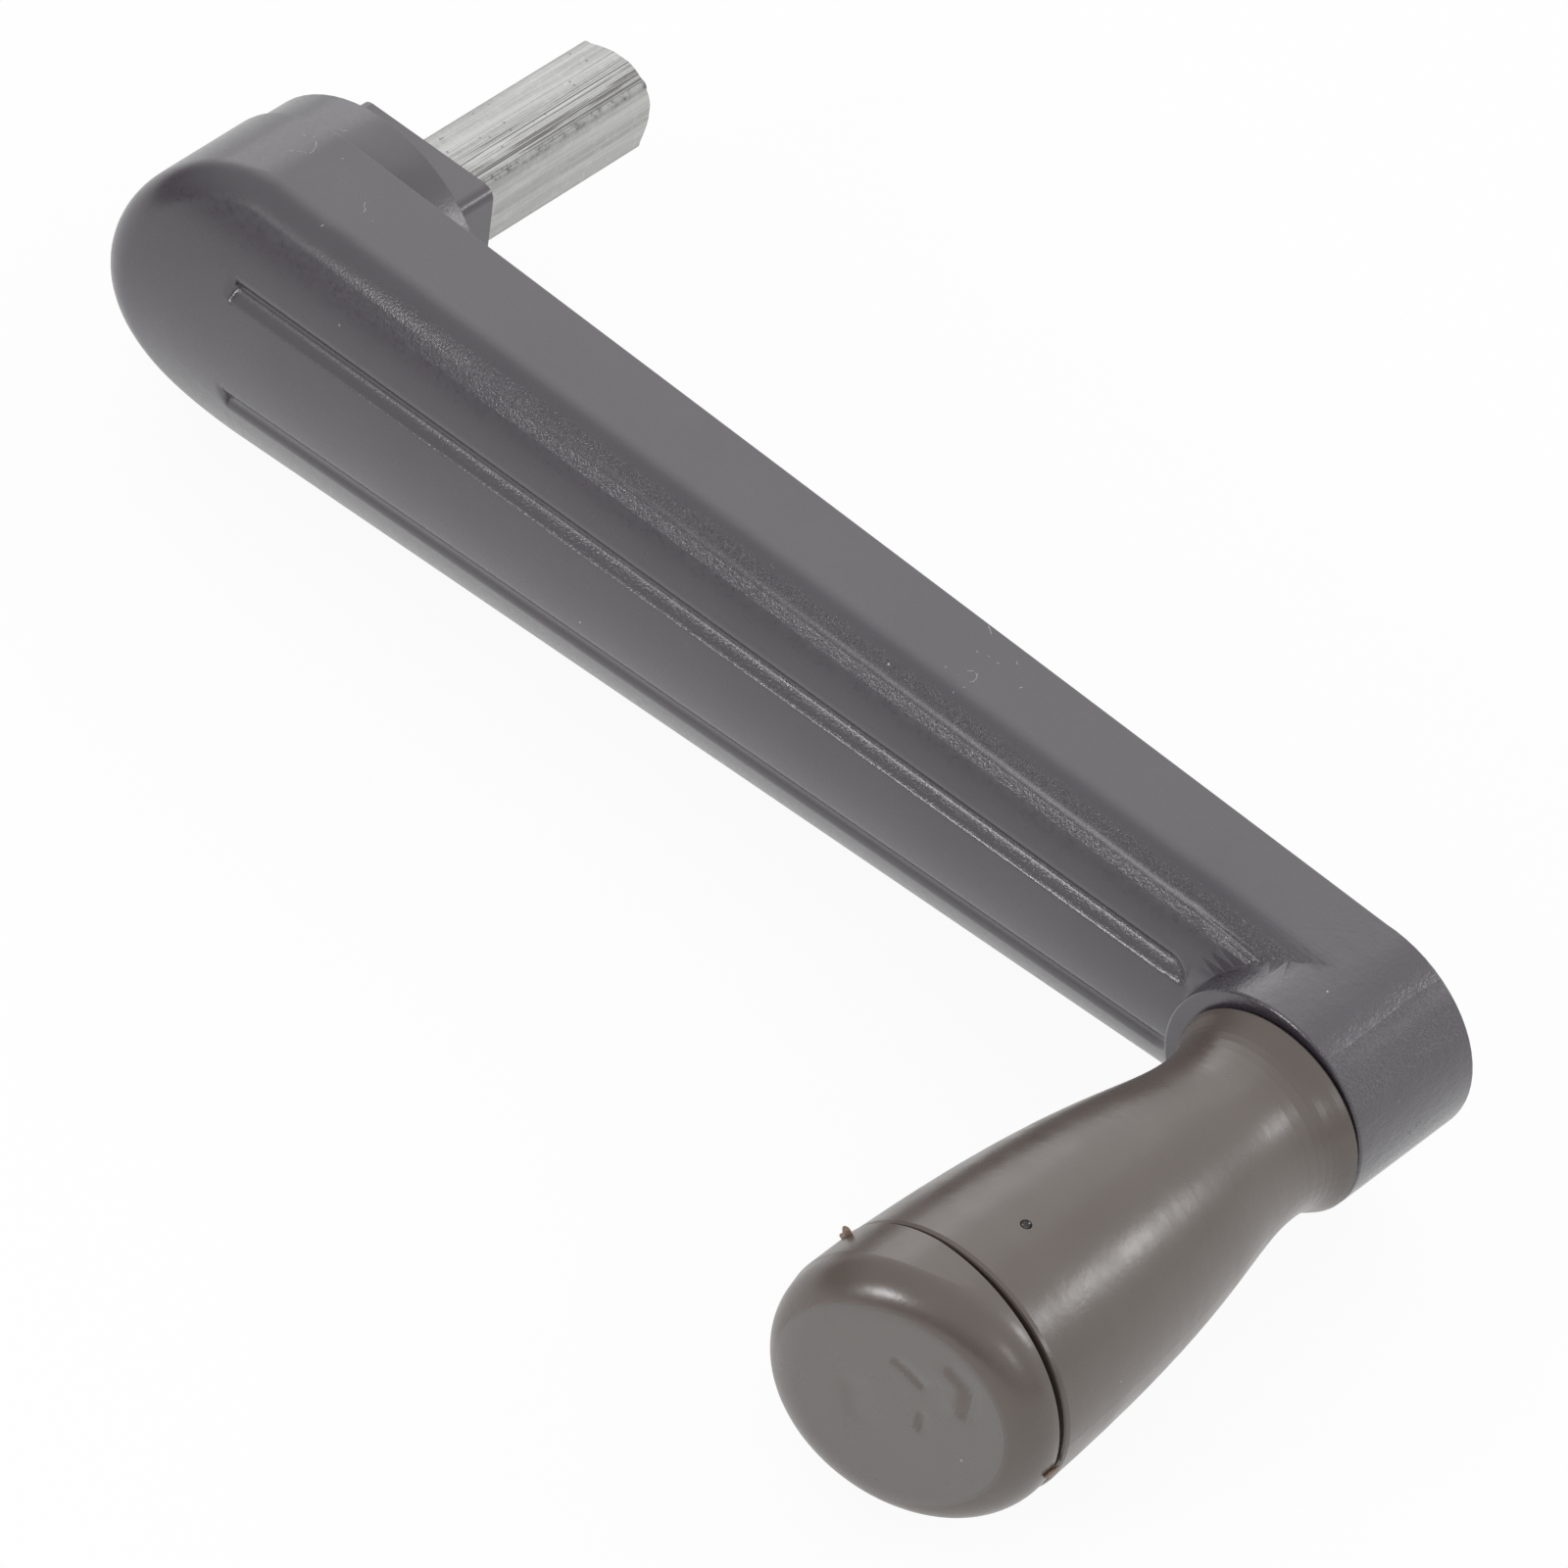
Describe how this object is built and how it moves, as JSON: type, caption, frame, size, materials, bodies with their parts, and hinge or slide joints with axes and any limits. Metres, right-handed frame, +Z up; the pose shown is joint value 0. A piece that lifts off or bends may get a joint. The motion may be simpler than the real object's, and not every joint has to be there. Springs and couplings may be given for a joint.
{
  "type": "crank handle",
  "caption": "Offset crank handle: tapered moulded arm with a square steel drive bar at its hub and a waisted turning grip at its other end.",
  "frame": {"origin": "on the drive bar's axis, at the end face of the square boss behind the hub", "axes": "+X from the bar's axis to the grip's axis, +Y along the bar away from the grip, +Z up, square to the arm's mid-plane"},
  "size_m": [0.1839, 0.1238, 0.037],
  "materials": {
    "arm_plastic": "satin, finely textured at the edges",
    "bar_steel": "drawn and lightly pitted",
    "pin_steel": "turned",
    "grip_plastic": "semi-gloss"
  },
  "bodies": {
    "handle": {"arm": "arm_plastic", "drive_bar": "bar_steel", "grip_pin": "pin_steel", "pin_washer": "pin_steel"},
    "grip": {"grip_sleeve": "grip_plastic", "end_cap": "grip_plastic"}
  },
  "joints": [
    {"name": "grip_spin", "type": "hinge", "parent": "handle", "child": "grip", "pos_m": [0.15, -0.045, 0], "axis": [0, 1, 0], "continuous": true}
  ]
}
